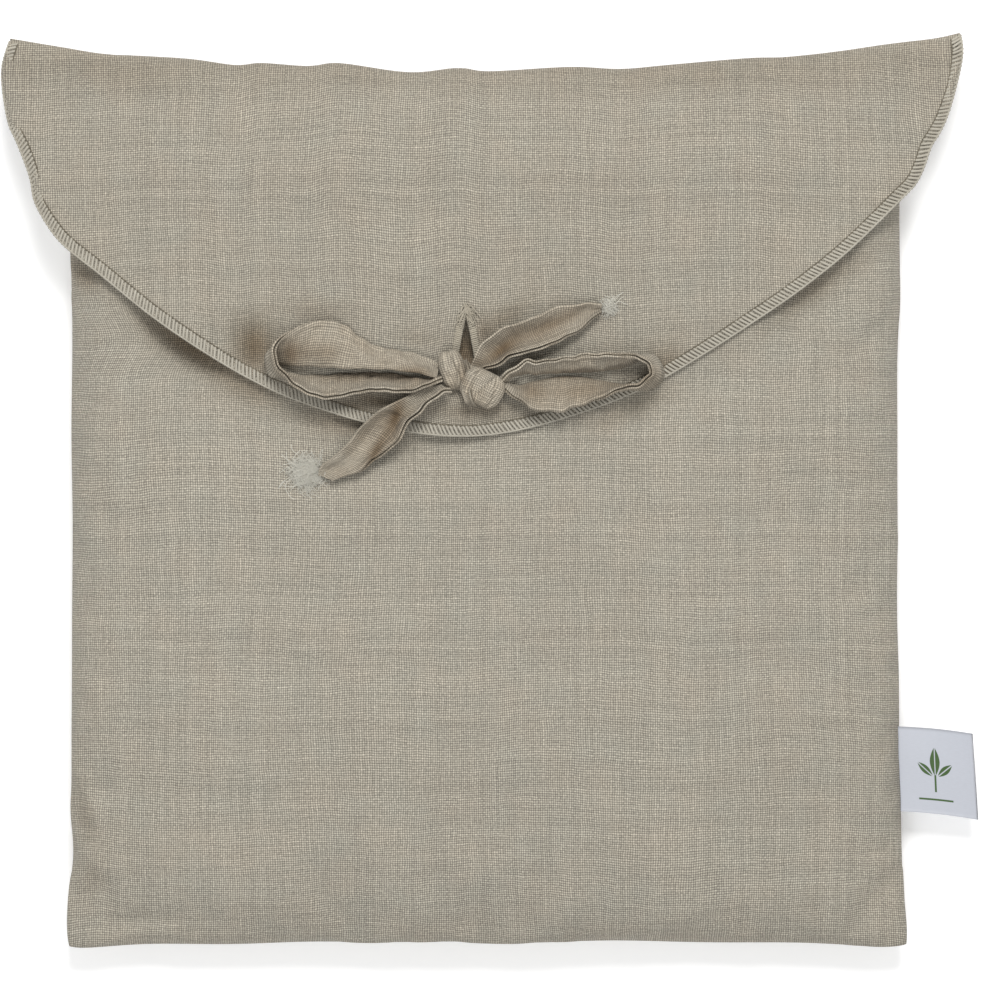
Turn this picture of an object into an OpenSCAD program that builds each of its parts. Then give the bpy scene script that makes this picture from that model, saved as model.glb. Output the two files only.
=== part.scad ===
/* [Cushion] */
// Width of the filled cover across its side seams
cushion_w = 350; // [320:5:400]
// Length of the filled cover from corner to corner, bottom seam to mouth
cushion_l = 378; // [350:2:400]
// Height of the seam line above the surface that the cushion lies on
seam_h = 17; // [14:0.5:20]
// Rise of the front above the seam line
crown_h = 25; // [20:0.5:32]
// How far each side seam pulls in between its corners
side_pull = 3; // [0:0.5:6]
// How far the bottom seam pulls in between its corners
bottom_pull = 5; // [0:0.5:8]
// How far the fold at the mouth pulls in between its corners
mouth_pull = 10; // [0:0.5:12]
// Thickness of the linen
cloth_t = 0.7; // [0.5:0.1:1]

/* [Flap] */
// Width of the flap from wing to wing
flap_w = 404; // [370:2:440]
// Length of the flap from the fold to its lowest point
flap_drop = 165; // [150:1:172]
// Fullness of the rounded edge on the left, where less is fuller
flap_left = 0.45; // [0.4:0.05:0.8]
// Fullness of the rounded edge on the right, where less is fuller
flap_right = 0.6; // [0.4:0.05:0.8]
// Sideways offset of the flap's lowest point
flap_shift = -3; // [-8:1:8]
// Width of the overlocked edging
overlock_w = 4.4; // [3:0.2:6]
// Thickness of the overlocked edging
overlock_t = 1.6; // [1.2:0.1:2]

/* [Slit and bow] */
// Length of the slit that the ties come through
slit_l = 40; // [34:1:44]
// Width of the slit at its lower end, under the knot
slit_w = 6; // [5:0.5:7]
// Width of the folded tape that the ties are made of
tape_w = 14; // [12:0.5:16]
// Thickness of the folded tape
tape_t = 1.4; // [1:0.1:1.8]
// Diameter of the knot
knot_d = 15; // [13:0.5:17]

/* [Label] */
// Length of the label out from the side seam
label_out = 31; // [24:1:36]
// Width of the label along the side seam
label_w = 36; // [30:1:40]
// Slope of the label, down and away from the seam
label_slope = 6; // [0:1:8]

/* [Hidden] */
$fn = 48;

linen = [0.66, 0.63, 0.58];
thread = [0.72, 0.69, 0.63];
frayed = [0.80, 0.79, 0.74];
calico = [0.90, 0.88, 0.83];
wadding = [0.95, 0.95, 0.94];
satin = [0.80, 0.81, 0.85];

half_w = cushion_w / 2;
half_l = cushion_l / 2;
roundness = 0.3;         // exponent of the crown: less is boxier
belly_h = 24;            // how far the back would sag if nothing held it up
seam_allowance = 8;
seam_t = 1.4;
seam_bite = 0.3;         // how far a seam reaches into the rims of the panels
corner_clear = 14;       // length at each corner with no seam allowance
insert_gap = 10;         // space between the insert's edge and the panels' outline
insert_drop = 1;         // space between the insert and the front panel's crown
case_t = 0.6;
core_rim = 1;            // half the thickness of the wadding at its rim, and its space in the case
hem_depth = 0.1;         // share of the cushion's half length that the hem takes
hem_span = 0.93;         // share of the cushion's width that the hem takes
hem_t = 0.8;

fold_t = 2.2;            // how far the fold stands out past the front panel's free edge
fold_y = half_l + fold_t;
fold_gap = 0.3;          // height of the flap's root over the back panel's rim
flap_reach = 203;        // half width at which the flap's surface would come down to the fold
flap_rise = crown_h + 2;
flap_half = flap_w / 2;
flap_tip = 0.985;        // share of the half width at which the wings are cut off blunt
flap_bulge = 1.6;        // exponent of the rounded edge

slit_x = -8.5;
slit_y = 44.5;           // lower end of the slit
knot_x = -9;
knot_y = 50;
over_flap = 0.4;         // clearance of the bow above the flap

label_y = -114;
label_t = 1;
label_gap = 1.2;

// The cushion's profile at shares u and v of its half width and half length.
function crown(u, v) = pow(max(0, (1 - u * u) * (1 - v * v)), roundness);
// Shares from -1 to 1 that crowd together towards both ends.
function spread(n, lo = -1, hi = 1) = [for (i = [0:n]) sin(90 * (lo + (hi - lo) * i / n))];
function even(n, lo, hi) = [for (i = [0:n]) lo + (hi - lo) * i / n];
function edge_x(v, inset) = half_w - inset - side_pull * (1 - v * v);
function edge_y(u, v, inset) = half_l - inset - (v > 0 ? mouth_pull : bottom_pull) * (1 - u * u);

// One point of the front's surface, and one of the back's, inset from the outline and lowered.
function front_point(u, v, inset, lower) =
    [u * edge_x(v, inset), v * edge_y(u, v, inset), seam_h + (crown_h - lower) * crown(u, v)];
function back_point(u, v, inset, raise, top) =
    [u * edge_x(v, inset), v * edge_y(u, v, inset) + (v > 0 ? pow(v, 4) * top : 0),
     max(raise, seam_h - (belly_h - raise) * crown(u, v))];
function front_grid(us, vs, inset, lower) =
    [for (v = vs) [for (u = us) front_point(u, v, inset, lower)]];
function back_grid(us, vs, inset, raise, top = 0) =
    [for (v = vs) [for (u = us) back_point(u, v, inset, raise, top)]];
function moved(grid, up) = [for (r = grid) [for (p = r) p + [0, 0, up]]];

// Height of the front's outside at a place on the cushion.
function front_z(x, y) = seam_h + crown_h * crown(x / half_w, y / edge_y(x / half_w, y, 0));

// The flap: the fold that it starts from, its rounded edge, and its underside raised by some thickness.
function root_y(x, raise) = fold_y - cloth_t + raise - mouth_pull * (1 - pow(x / half_w, 2));
function flap_edge_y(x, inset) =
    let (u = abs(x - flap_shift) / flap_half)
    fold_y - (flap_drop - inset) * pow(1 - pow(u, flap_bulge), x < flap_shift ? flap_left : flap_right);
function flap_z(x, y, raise) =
    seam_h + fold_gap + (flap_rise + raise) * crown(x / (flap_reach + raise), y / root_y(x, raise));
function flap_top(x, y) = flap_z(x, y, cloth_t);

// A slab between two matching grids of points, the first one above or left of the second.
// Its faces are listed from the middle of the upper side on.
module slab(upper, lower) {
    rows = len(upper);
    cols = len(upper[0]);
    n = rows * cols;
    points = concat([for (r = upper) each r], [for (r = lower) each r]);
    function at(i, j) = i * cols + j;
    upper_faces = [for (i = [0:rows - 2], j = [0:cols - 2])
        each [[at(i, j), at(i + 1, j), at(i + 1, j + 1)], [at(i, j), at(i + 1, j + 1), at(i, j + 1)]]];
    lower_faces = [for (f = upper_faces) [n + f[0], n + f[2], n + f[1]]];
    rim = concat(
        [for (j = [0:cols - 1]) at(0, j)],
        [for (i = [1:rows - 1]) at(i, cols - 1)],
        [for (j = [cols - 2:-1:0]) at(rows - 1, j)],
        [for (i = [rows - 2:-1:1]) at(i, 0)]
    );
    m = len(rim);
    rim_faces = [for (k = [0:m - 1]) let (a = rim[k], b = rim[(k + 1) % m])
        each [[a, b, n + b], [a, n + b, n + a]]];
    faces = concat(upper_faces, lower_faces, rim_faces);
    middle = (rows - 1) * (cols - 1) + cols;
    polyhedron(points, [for (k = [0:len(faces) - 1]) faces[(k + middle) % len(faces)]], convexity = 6);
}

// A smooth line through hand-placed stations: values between four neighbours.
function between(a, b, c, d, t) =
    0.5 * (2 * b + t * (c - a) + t * t * (2 * a - 5 * b + 4 * c - d) + t * t * t * (3 * b - a - 3 * c + d));
function smooth(p, steps) = [
    for (i = [0:len(p) - 2], k = [0:steps - 1])
        between(p[max(i - 1, 0)], p[i], p[i + 1], p[min(i + 2, len(p) - 1)], k / steps),
    p[len(p) - 1]
];

// A tape along stations [x, y, lift, tilt]: it lies flat at tilt 0 and stands on its edge at 90.
module tape(stations, steps = 4) {
    line = smooth(stations, steps);
    last = len(line) - 1;
    function away(i) =
        let (d = line[min(i + 1, last)] - line[max(i - 1, 0)], r = norm([d[0], d[1]]))
        [-d[1] / r, d[0] / r];
    function corner(i, across, up) =
        let (
            s = line[i],
            n = away(i),
            run = across * tape_w / 2 * cos(s[3]) - up * tape_t / 2 * sin(s[3]),
            rise = (across + 1) * tape_w / 2 * sin(s[3]) + (up + 1) * tape_t / 2 * cos(s[3])
        )
        [s[0] + n[0] * run, s[1] + n[1] * run, tape_floor(s[0], s[1]) + s[2] + rise];
    slab(
        [for (i = [0:last]) [corner(i, 1, 1), corner(i, -1, 1)]],
        [for (i = [0:last]) [corner(i, 1, -1), corner(i, -1, -1)]]
    );
}
function tape_floor(x, y) = flap_top(x, y) + over_flap;

module back_panel() {
    s = spread(18);
    color(linen) slab(
        back_grid(s, s, cloth_t, cloth_t, fold_t),
        back_grid(s, s, 0, 0, fold_t)
    );
}

module front_panel() {
    s = spread(18);
    color(linen) slab(
        front_grid(s, s, 0, 0),
        front_grid(s, s, cloth_t, cloth_t)
    );
}

// The hem folded in along the front panel's free edge, at the mouth.
module mouth_hem() {
    us = even(16, -hem_span, hem_span);
    vs = spread(3, 1 - 4 * hem_depth, 0.98);
    color(linen) slab(
        front_grid(us, vs, cloth_t, cloth_t),
        front_grid(us, vs, cloth_t + hem_t, cloth_t + hem_t)
    );
}

// Overlocked seam allowance down one side, inside the cover.
module side_seam(side) {
    reach = 1 - corner_clear / half_l;
    ys = even(10, -reach, reach);
    outer = [for (v = ys) [side * edge_x(v, cloth_t - seam_bite), v * half_l]];
    inner = [for (v = ys) [side * edge_x(v, cloth_t - seam_bite + seam_allowance), v * half_l]];
    color(thread) translate([0, 0, seam_h - seam_t / 2])
        linear_extrude(seam_t) polygon(concat(outer, [for (i = [10:-1:0]) inner[i]]));
}
module left_seam() { side_seam(-1); }
module right_seam() { side_seam(1); }

module bottom_seam() {
    reach = 1 - 1.6 * corner_clear / half_w;
    xs = even(10, -reach, reach);
    outer = [for (u = xs) [u * half_w, -edge_y(u, -1, cloth_t - seam_bite)]];
    inner = [for (u = xs) [u * half_w, -edge_y(u, -1, cloth_t - seam_bite + seam_allowance)]];
    color(thread) translate([0, 0, seam_h - seam_t / 2])
        linear_extrude(seam_t) polygon(concat(outer, [for (i = [10:-1:0]) inner[i]]));
}

// The insert: a crowned slab of wadding in a sewn calico case of two halves.
module insert_core() {
    s = spread(14);
    inset = insert_gap + case_t + 2 * core_rim;
    under = cloth_t + insert_drop + case_t + 2 * core_rim;
    color(wadding) slab(
        moved(front_grid(s, s, inset, under), core_rim),
        moved(back_grid(s, s, inset, under), -core_rim)
    );
}
module insert_case_top() {
    s = spread(14);
    lower = insert_drop + cloth_t;
    color(calico) slab(
        front_grid(s, s, insert_gap, lower),
        front_grid(s, s, insert_gap + case_t, lower + case_t)
    );
}
module insert_case_bottom() {
    s = spread(14);
    raise = cloth_t + insert_drop;
    color(calico) slab(
        back_grid(s, s, insert_gap + case_t, raise + case_t),
        back_grid(s, s, insert_gap, raise)
    );
}

// The flat ends of both ties, sewn to the front panel, and their bunched neck through the slit.
module tie_roots() {
    root_t = 1.2;
    root_l = 34;
    neck_l = 9;
    neck_w = slit_w - 1.6;
    xs = even(4, slit_x - tape_w / 2, slit_x + tape_w / 2);
    ys = even(6, slit_y - 20, slit_y - 20 + root_l);
    color(linen) {
        slab(
            [for (y = ys) [for (x = xs) [x, y, front_z(x, y) + root_t]]],
            [for (y = ys) [for (x = xs) [x, y, front_z(x, y) - 0.3]]]
        );
        translate([slit_x - neck_w / 2, slit_y + 2, front_z(slit_x, slit_y) + 0.6])
            cube([neck_w, neck_l, flap_top(slit_x, slit_y) - front_z(slit_x, slit_y) - 0.5]);
    }
}

// The box of stitches that holds the tie ends to the front panel.
module anchor_stitching() {
    stitch_t = 0.8;
    box_l = 12;
    box_w = tape_w - 3;
    z = front_z(slit_x, slit_y - 12) + 0.8;
    color(thread) translate([slit_x, slit_y - 12, z]) linear_extrude(stitch_t) {
        difference() {
            square([box_w, box_l], center = true);
            square([box_w - 2 * stitch_t, box_l - 2 * stitch_t], center = true);
        }
        for (a = [-1, 1])
            rotate(a * atan2(box_l, box_w))
                square([norm([box_w, box_l]) - 2 * stitch_t, stitch_t], center = true);
    }
}

// Places across the flap, from one blunt wing tip to the other.
function flap_columns(n, inset) =
    [for (u = spread(n, -0.94, 0.94)) flap_shift + u / sin(90 * 0.94) * (flap_tip * flap_half - inset)];

module flap_panel() {
    xs = flap_columns(26, overlock_w / 2);
    ks = [for (k = [12:-1:0]) pow(k / 12, 2)];
    function row(k, raise) = [for (x = xs)
        let (y0 = root_y(x, raise), y1 = flap_edge_y(x, overlock_w / 2), y = y0 + k * (y1 - y0))
        [x, y, flap_z(x, y, raise)]];
    color(linen) difference() {
        slab([for (k = ks) row(k, cloth_t)], [for (k = ks) row(k, 0)]);
        slit_hole(0, 30);
    }
}

// The slit is a narrow wedge that opens downwards to the knot.
module slit_outline(margin) {
    offset(delta = margin) polygon([
        [slit_x - slit_w / 2, slit_y], [slit_x + slit_w / 2, slit_y],
        [slit_x + 0.6, slit_y + slit_l], [slit_x - 0.6, slit_y + slit_l]
    ]);
}
module slit_hole(margin, z) {
    translate([0, 0, z]) linear_extrude(30) slit_outline(margin);
}

// Overlocked edging along the rounded edge and the blunt wing tips.
module flap_overlock() {
    inset = overlock_w / 2;
    xs = flap_columns(50, inset);
    first = xs[0];
    last = xs[len(xs) - 1];
    function tip(x, k) = [x, flap_edge_y(x, inset) + k * (root_y(x, 0) - 3 - flap_edge_y(x, inset))];
    rim = concat(
        [for (k = [1, 0.66, 0.33]) tip(first, k)],
        [for (x = xs) [x, flap_edge_y(x, inset)]],
        [for (k = [0.33, 0.66, 1]) tip(last, k)]
    );
    n = len(rim) - 1;
    function away(i) =
        let (d = rim[min(i + 1, n)] - rim[max(i - 1, 0)])
        [d[1], -d[0]] / norm(d);
    function at(i, k, raise) =
        let (p = rim[i] + away(i) * k * inset)
        [p[0], p[1], flap_z(p[0], p[1], cloth_t / 2) + raise];
    color(thread) slab(
        [for (k = [1, 0, -1]) [for (i = [0:n]) at(i, k, overlock_t / (2 + abs(k)))]],
        [for (k = [1, 0, -1]) [for (i = [0:n]) at(i, k, -overlock_t / (2 + abs(k)))]]
    );
}

// Stitches all round the slit, raised a little over the flap.
module slit_stitching() {
    stitch_w = 1.6;
    stitch_h = 1.1;
    z = flap_top(slit_x, slit_y + slit_l / 2) - stitch_h / 2;
    drop = flap_top(slit_x, slit_y) - flap_top(slit_x, slit_y + slit_l);
    color(thread) translate([0, slit_y + slit_l / 2, z]) rotate([-atan2(drop, slit_l), 0, 0])
        translate([0, -slit_y - slit_l / 2, 0]) linear_extrude(stitch_h) difference() {
            slit_outline(stitch_w);
            slit_outline(0);
        }
}

module bow_knot() {
    over_stitches = 0.8;
    z = tape_floor(knot_x, knot_y) + over_stitches + knot_d * 0.42;
    profile = [for (a = [-90:10:90]) [knot_d / 2 * pow(max(0, cos(a)), 0.6), knot_d * 0.62 * sin(a)]];
    color(linen) intersection() {
        translate([knot_x, knot_y, z]) rotate([0, 90, -20]) rotate_extrude() polygon(profile);
        translate([knot_x, knot_y, z]) cube([2 * knot_d, 2 * knot_d, knot_d * 0.84], center = true);
    }
}

module bow_loop_left() {
    color(linen) tape([
        [-15, 48, 1, 84], [-28, 42, 1, 80], [-50, 39, 0.5, 75], [-70, 38, 0.5, 70], [-84, 44, 0.5, 68],
        [-91, 54, 0.5, 70], [-87, 65, 0.5, 60], [-74, 69, 0.5, 45], [-58, 67, 0.5, 45], [-42, 61, 1, 55],
        [-27, 59, 1, 70], [-16, 54, 1, 80]
    ]);
}

module bow_loop_right() {
    color(linen) tape([
        [-3, 46, 1, 84], [10, 39, 0.5, 80], [26, 39, 0.5, 72], [46, 43, 0.5, 70], [62, 49, 0.5, 72],
        [67, 55, 0.5, 75], [60, 60, 0.5, 70], [44, 60, 0.5, 62], [26, 59, 0.5, 62], [10, 55, 1, 72],
        [-2, 51, 1, 80]
    ]);
}

module tie_tail_upper() {
    color(linen) tape([
        [-5, 55, 4, 55], [2, 63, 1.5, 50], [16, 73, 1, 35], [32, 78, 1, 25], [46, 82, 1, 15]
    ]);
}

module tie_tail_lower() {
    color(linen) tape([
        [-12, 46, 3, 60], [-25, 35, 1, 45], [-36, 26, 1, 20], [-48, 19, 1, 8], [-62, 14, 1, 5]
    ]);
}

// A tuft of loose threads at a tie's cut end.
module frayed_end(x, y, turn) {
    tuft_l = 11;
    translate([x, y, tape_floor(x, y) + tape_w * 0.3]) rotate([0, 90, turn])
        cylinder(h = tuft_l, r1 = tape_w * 0.26, r2 = tape_w * 0.16);
}
module frayed_end_upper() { color(frayed) frayed_end(45.4, 82, 16); }
module frayed_end_lower() { color(frayed) frayed_end(-61.4, 14.2, 196); }

// A folded woven label that stands out from the right side seam.
module label() {
    hinge_x = edge_x(label_y / half_l, 0) + label_gap;
    end_x = hinge_x + label_out;
    fall = label_out * sin(label_slope);
    color(satin) translate([0, 0, seam_h - label_t / 2]) linear_extrude(label_t) polygon([
        [hinge_x, label_y + label_w / 2], [hinge_x, label_y - label_w / 2],
        [end_x, label_y - label_w / 2 - fall], [end_x - 2, label_y + label_w / 2 - fall]
    ]);
}

back_panel();
front_panel();
mouth_hem();
left_seam();
right_seam();
bottom_seam();
insert_core();
insert_case_top();
insert_case_bottom();
tie_roots();
anchor_stitching();
flap_panel();
flap_overlock();
slit_stitching();
bow_knot();
bow_loop_left();
bow_loop_right();
tie_tail_upper();
tie_tail_lower();
frayed_end_upper();
frayed_end_lower();
label();
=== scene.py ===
import math

import bpy
import numpy as np
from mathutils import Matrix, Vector
from mathutils.bvhtree import BVHTree


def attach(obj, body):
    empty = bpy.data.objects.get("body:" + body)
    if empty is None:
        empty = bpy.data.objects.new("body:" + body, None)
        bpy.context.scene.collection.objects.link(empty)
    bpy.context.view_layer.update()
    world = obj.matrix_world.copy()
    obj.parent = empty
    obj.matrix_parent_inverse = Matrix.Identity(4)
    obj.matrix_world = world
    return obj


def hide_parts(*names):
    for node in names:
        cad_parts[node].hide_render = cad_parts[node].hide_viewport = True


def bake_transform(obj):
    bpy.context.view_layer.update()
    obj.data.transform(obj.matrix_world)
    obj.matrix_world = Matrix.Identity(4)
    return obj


# Every length below is in millimetres, until mesh() and tubes() turn it into metres.
MM = 0.001
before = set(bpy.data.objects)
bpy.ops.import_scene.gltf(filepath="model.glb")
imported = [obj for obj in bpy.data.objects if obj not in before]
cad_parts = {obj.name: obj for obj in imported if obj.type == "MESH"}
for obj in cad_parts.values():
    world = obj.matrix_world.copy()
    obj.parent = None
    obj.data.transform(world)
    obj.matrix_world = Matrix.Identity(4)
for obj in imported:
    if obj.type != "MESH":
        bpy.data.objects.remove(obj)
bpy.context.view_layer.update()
scene = bpy.context.scene

# The height of the cover's side seams, how far its front rises over them, and half its size on plan.
SEAM_Z = 17.0
CROWN = 25.0
HALF_WIDTH, HALF_LENGTH = 175, 187
# The slit in the flap, from its upper to its lower end, and the knot beside it.
SLIT_X = -9.0
SLIT_TOP = 78.0
SLIT_END = 43.0
KNOT = np.array([-6.5, 50.5])
# The weave's spacing, the linen's thickness and the overlock's spacing.
THREAD = 0.95
CLOTH = 0.7
STITCH = 1.77
UV_PER_MM = 0.01
# What the linen's colour is multiplied by where its painted shade is darkest: red, green and blue.
PAINTED_SHADE_TINT = (0.42, 0.33, 0.24)


# ---- numbers


def smoothstep(x, lo, hi):
    t = np.clip((np.asarray(x, float) - lo) / (hi - lo), 0, 1)
    return t * t * (3 - 2 * t)


def waves(x, y, length, seed, count=9):
    """Smooth random waves of about one wavelength, from -1 to 1."""
    rng = np.random.default_rng(seed)
    total = np.zeros(np.broadcast(x, y).shape)
    for _ in range(count):
        angle = rng.uniform(0, math.pi)
        wave = length * rng.uniform(0.7, 1.6)
        total = total + np.sin(
            2 * math.pi * (x * math.cos(angle) + y * math.sin(angle)) / wave
            + rng.uniform(0, 2 * math.pi)
        )
    return total / math.sqrt(count) / 1.4


def hump(x, y, at, size, turn=0.0):
    """A smooth hill of height 1 at a place, with its two half widths, turned by some degrees."""
    a = math.radians(turn)
    dx, dy = x - at[0], y - at[1]
    p = dx * math.cos(a) + dy * math.sin(a)
    q = dy * math.cos(a) - dx * math.sin(a)
    return np.exp(-((p / size[0]) ** 2) - (q / size[1]) ** 2)


def crease(x, y, start, end, width):
    """A rounded fold line of height 1 between two places, fading out at both ends."""
    s, e = np.array(start, float), np.array(end, float)
    d = e - s
    length = np.linalg.norm(d)
    t = ((x - s[0]) * d[0] + (y - s[1]) * d[1]) / length**2
    off = ((y - s[1]) * d[0] - (x - s[0]) * d[1]) / length
    fade = np.clip(np.minimum(t + 0.12, 1.12 - t) / 0.3, 0, 1)
    return fade * np.exp(-((off / width) ** 2))


def curve(points, steps):
    """A smooth line through given points."""
    p = np.array(points, float)
    ends = np.vstack([2 * p[0] - p[1], p, 2 * p[-1] - p[-2]])
    out = []
    for i in range(1, len(p)):
        a, b, c, d = ends[i - 1 : i + 3]
        for t in np.linspace(0, 1, steps, endpoint=False):
            square, cube = 2 * a - 5 * b + 4 * c - d, 3 * b - a - 3 * c + d
            out.append(0.5 * (2 * b + t * (c - a) + t * t * square + t**3 * cube))
    out.append(p[-1])
    return np.array(out)


def along(line):
    """Length along a line up to each of its points."""
    return np.concatenate([[0], np.cumsum(np.linalg.norm(np.diff(line, axis=0), axis=1))])


def at_length(line, s, where):
    """Places on a line at some lengths, where s holds the length up to each of its points."""
    return np.stack([np.interp(where, s, line[:, k]) for k in range(line.shape[1])], axis=-1)


def resample(line, count):
    s = along(line)
    return at_length(line, s, np.linspace(0, s[-1], count))


def relief(x, y, humps, creases):
    """The height of a surface. Each hump and crease is its own height, then what hump() or crease() takes."""
    z = 0.0
    for rise, *shape in humps:
        z = z + rise * hump(x, y, *shape)
    for rise, *shape in creases:
        z = z + rise * crease(x, y, *shape)
    return z


def unit(v):
    return v / np.maximum(np.linalg.norm(v, axis=-1, keepdims=True), 1e-9)


# ---- meshes


def mesh(name, points, faces, uv=None, painted_shade_spots=()):
    """A new object from points in millimetres, in a list or a grid. uv gives each point its place on the flat
    cloth, in millimetres. Painted shade darkens the cloth's colour around the given spots."""
    points = np.asarray(points, float).reshape(-1, 3)
    data = bpy.data.meshes.new(name)
    data.from_pydata((points * MM).tolist(), [], [tuple(int(i) for i in f) for f in faces])
    data.update()
    obj = bpy.data.objects.new(name, data)
    scene.collection.objects.link(obj)
    if uv is not None:
        corner = np.zeros(len(data.loops), np.int32)
        data.loops.foreach_get("vertex_index", corner)
        places = np.asarray(uv, float).reshape(-1, 2)[corner] * UV_PER_MM
        data.uv_layers.new(name="cloth").data.foreach_set("uv", places.astype(np.float32).ravel())
    # painted shade: each spot darkens the cloth's colour there, kept in the point attribute shade
    if painted_shade_spots:
        plain = [1 - depth * hump(points[:, 0], points[:, 1], *shape) for *shape, depth in painted_shade_spots]
        layer = data.attributes.new("shade", "FLOAT", "POINT")
        layer.data.foreach_set("value", (1 - np.prod(plain, axis=0)).astype(np.float32))
    data.polygons.foreach_set("use_smooth", [True] * len(data.polygons))
    return obj


def grid_faces(rows, cols, flip=False, close=False):
    faces = []
    for i in range(rows - 1):
        for j in range(cols if close else cols - 1):
            k = (j + 1) % cols
            f = (i * cols + j, i * cols + k, (i + 1) * cols + k, (i + 1) * cols + j)
            faces.append(f[::-1] if flip else f)
    return faces


def sleeve(rows, cols, base=0, turned=False):
    """Faces of a closed tube, and of its two ends."""
    ends = [tuple(range(cols)), tuple(range((rows - 1) * cols, rows * cols))]
    back = 0 if turned else 1
    ends[back] = ends[back][::-1]
    return [tuple(base + i for i in f) for f in grid_faces(rows, cols, close=True) + ends]


def modified(obj, kind, **settings):
    """Adds a modifier to an object and applies it."""
    m = obj.modifiers.new(kind.lower(), kind)
    for key, value in settings.items():
        setattr(m, key, value)
    deps = bpy.context.evaluated_depsgraph_get()
    whole = obj.evaluated_get(deps)
    data = bpy.data.meshes.new_from_object(whole, preserve_all_data_layers=True, depsgraph=deps)
    obj.modifiers.remove(m)
    old, name = obj.data, obj.data.name
    obj.data = data
    bpy.data.meshes.remove(old)
    data.name = name
    return obj


def thick(obj, mm, side=-1):
    """Gives a sheet its thickness, below its surface at side -1 and above it at 1."""
    return modified(
        obj, "SOLIDIFY", thickness=mm * MM, offset=side, use_even_offset=False, use_quality_normals=True
    )


def finer(obj, levels=1):
    return modified(obj, "SUBSURF", levels=levels, render_levels=levels, boundary_smooth="ALL")


def tubes(name, lines, radius, sides=6):
    """One object of many round threads along lines of points. radius is one number, or one for each line."""
    points, faces = [], []
    base = 0
    ring = np.linspace(0, 2 * math.pi, sides, endpoint=False)
    guide = np.array([0.13, 0.21, 0.97])
    for line, r in zip(lines, np.broadcast_to(radius, len(lines))):
        line = np.asarray(line, float)
        t = unit(np.gradient(line, axis=0))
        side = unit(np.cross(t, guide))
        up = np.cross(side, t)
        for place, a, b in zip(line, side, up):
            points.append(place + r * (np.outer(np.cos(ring), a) + np.outer(np.sin(ring), b)))
        faces += sleeve(len(line), sides, base, turned=True)
        base += len(line) * sides
    return mesh(name, np.vstack(points), faces)


def points_of(obj):
    """An object's points in millimetres."""
    return np.array([v.co for v in obj.data.vertices], float) / MM


def move_points(obj, points):
    """Puts an object's points at places in millimetres."""
    obj.data.vertices.foreach_set("co", (points * MM).astype(np.float32).ravel())
    obj.data.update()


def ripple(obj, pinned, swell, pressure, frames, cap):
    """Cloth simulation: the cloth swells a little against its pinned points and buckles. Each point moves by
    less than cap."""
    rest = points_of(obj)
    group = obj.vertex_groups.new(name="pin")
    pinned = np.round(pinned, 1)
    for weight in sorted(set(pinned[pinned > 0])):
        group.add([int(i) for i in np.where(pinned == weight)[0]], float(weight), "REPLACE")
    m = obj.modifiers.new("cloth", "CLOTH")
    settings = dict(
        quality=5, mass=0.15, tension_stiffness=25, compression_stiffness=25, shear_stiffness=8,
        bending_stiffness=0.08, shrink_min=-swell, vertex_group_mass="pin", pin_stiffness=20,
        use_pressure=pressure > 0, uniform_pressure_force=pressure,
    )
    for key, value in settings.items():
        setattr(m.settings, key, value)
    m.settings.effector_weights.gravity = 0
    m.collision_settings.use_collision = False
    m.collision_settings.use_self_collision = False
    m.point_cache.frame_start = 1
    m.point_cache.frame_end = frames
    for frame_number in range(1, frames + 1):
        scene.frame_set(frame_number)
    step = points_of(obj.evaluated_get(bpy.context.evaluated_depsgraph_get())) - rest
    obj.modifiers.remove(m)
    obj.vertex_groups.remove(group)
    scene.frame_set(1)
    size = np.linalg.norm(step, axis=1, keepdims=True)
    move_points(obj, rest + step * np.minimum(1, cap * np.tanh(size / cap) / np.maximum(size, 1e-6)))


# ---- materials


class Value:
    """What a node puts out. Sums of such values make more nodes."""

    def __init__(self, graph, socket):
        self.graph = graph
        self.socket = socket

    def __add__(self, other):
        return self.graph.math("ADD", self, other)

    def __sub__(self, other):
        return self.graph.math("SUBTRACT", self, other)

    def __rsub__(self, other):
        return self.graph.math("SUBTRACT", other, self)

    def __mul__(self, other):
        return self.graph.math("MULTIPLY", self, other)

    def __abs__(self):
        return self.graph.math("ABSOLUTE", self)

    __radd__ = __add__
    __rmul__ = __mul__


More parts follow.
